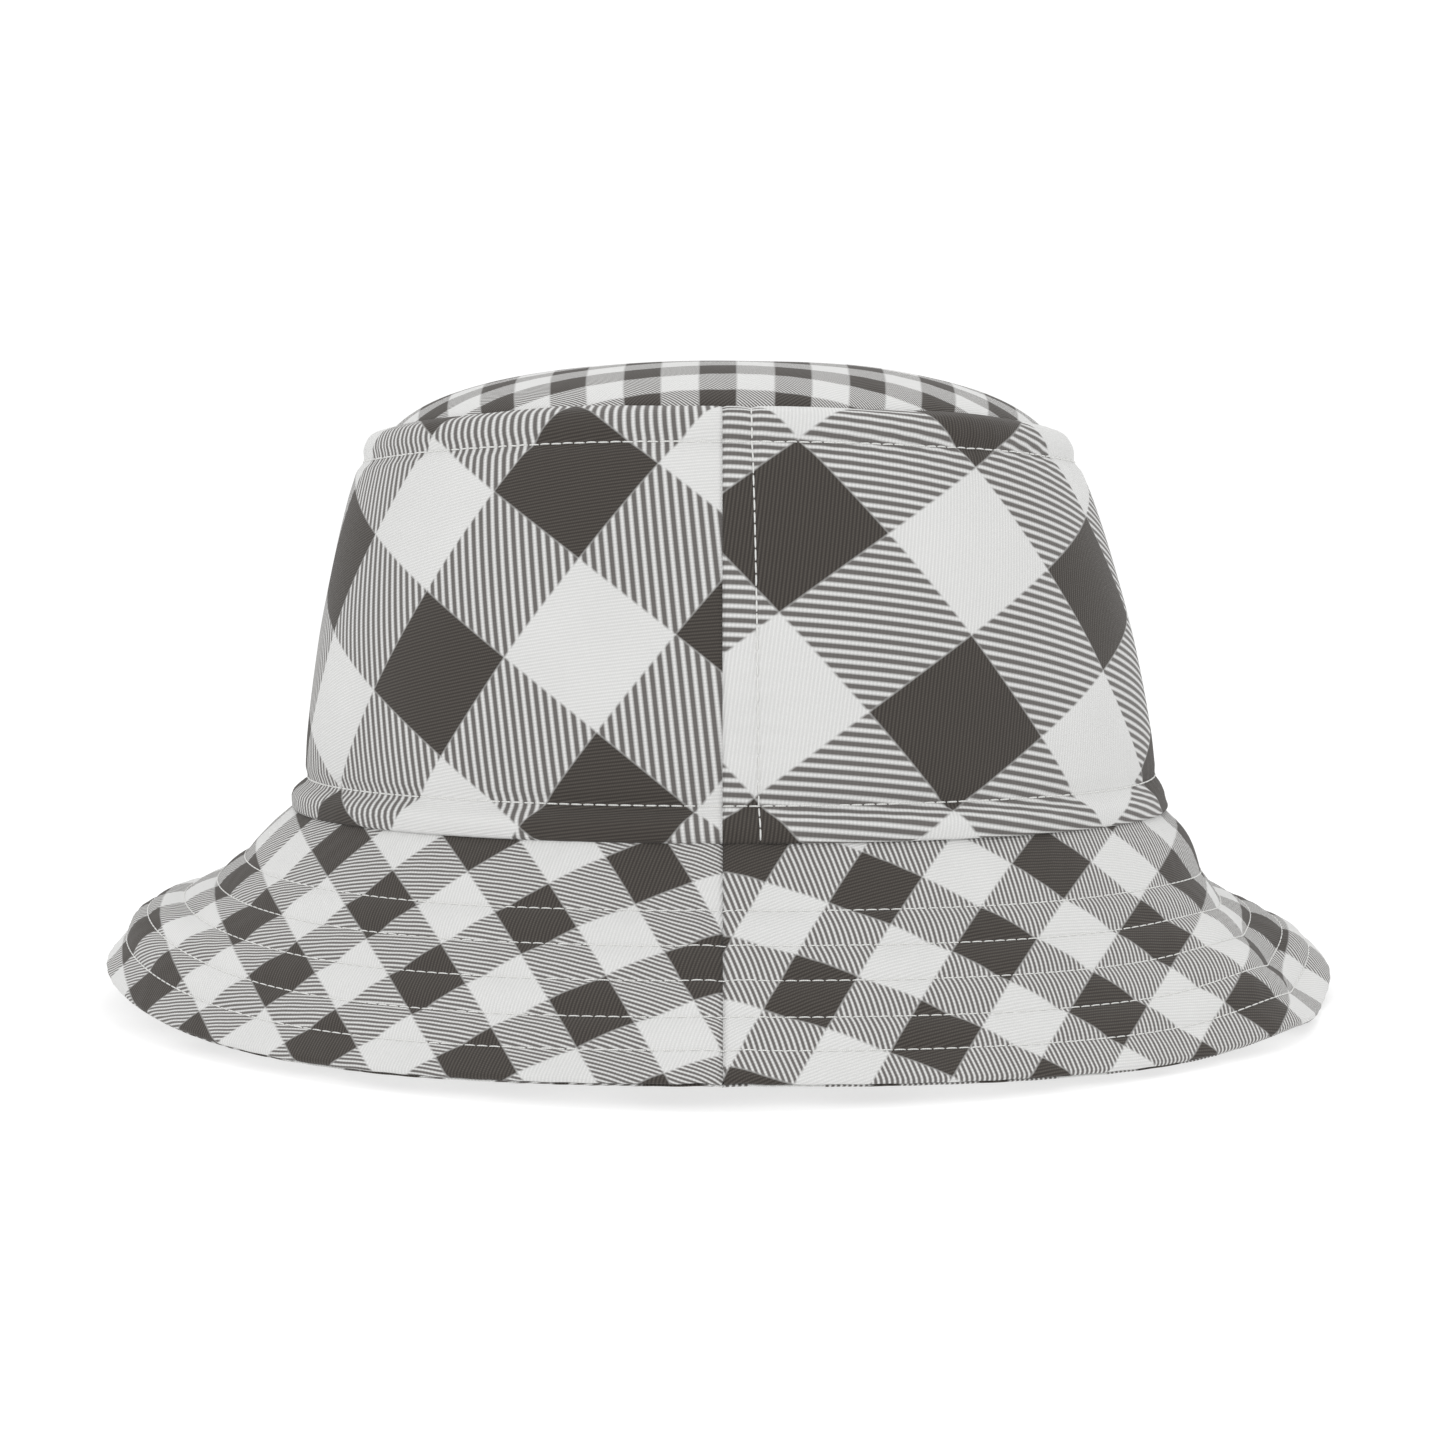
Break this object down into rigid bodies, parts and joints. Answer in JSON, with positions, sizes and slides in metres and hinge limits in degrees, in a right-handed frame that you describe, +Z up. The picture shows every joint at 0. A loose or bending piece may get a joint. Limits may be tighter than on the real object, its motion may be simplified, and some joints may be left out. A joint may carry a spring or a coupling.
{
  "type": "bucket hat",
  "caption": "Soft bucket hat: oval flat-topped crown with a puffed tip, sloping brim with rows of topstitching, cloth lining and an inside sweatband.",
  "frame": {"origin": "under the middle of the hat, level with the lowest point of the brim edge", "axes": "+X towards the back of the hat, +Y towards the wearer's right side seam, +Z up through the tip of the crown"},
  "size_m": [0.2779, 0.251, 0.1418],
  "materials": {
    "check_cloth_tip": "matte woven cotton, black and white gingham",
    "check_cloth_crown": "matte woven cotton, black and white gingham",
    "check_cloth_brim": "matte woven cotton, black and white gingham, quilted by rows of stitching",
    "interlining": "stiff non-woven, matte",
    "lining_cloth": "plain white cotton poplin, matte",
    "sweatband_tape": "black grosgrain ribbon, slight sheen",
    "label_tape": "smooth white tape, blank",
    "thread": "white sewing thread"
  },
  "bodies": {
    "root": {"crown_tip": "check_cloth_tip", "crown_front_panel": "check_cloth_crown", "crown_back_panel": "check_cloth_crown", "brim_top_front": "check_cloth_brim", "brim_top_back": "check_cloth_brim", "brim_under_front": "check_cloth_brim", "brim_under_back": "check_cloth_brim", "brim_interlining_front": "interlining", "brim_interlining_back": "interlining", "lining_tip": "lining_cloth", "lining_front_panel": "lining_cloth", "lining_back_panel": "lining_cloth", "sweatband": "sweatband_tape", "care_label": "label_tape", "tip_topstitch": "thread", "side_topstitch_left": "thread", "side_topstitch_right": "thread", "crown_base_topstitch": "thread", "sweatband_stitch": "thread", "brim_stitch_row_1": "thread", "brim_stitch_row_2": "thread", "brim_stitch_row_3": "thread", "brim_stitch_row_4": "thread", "brim_stitch_row_5": "thread"}
  },
  "joints": []
}
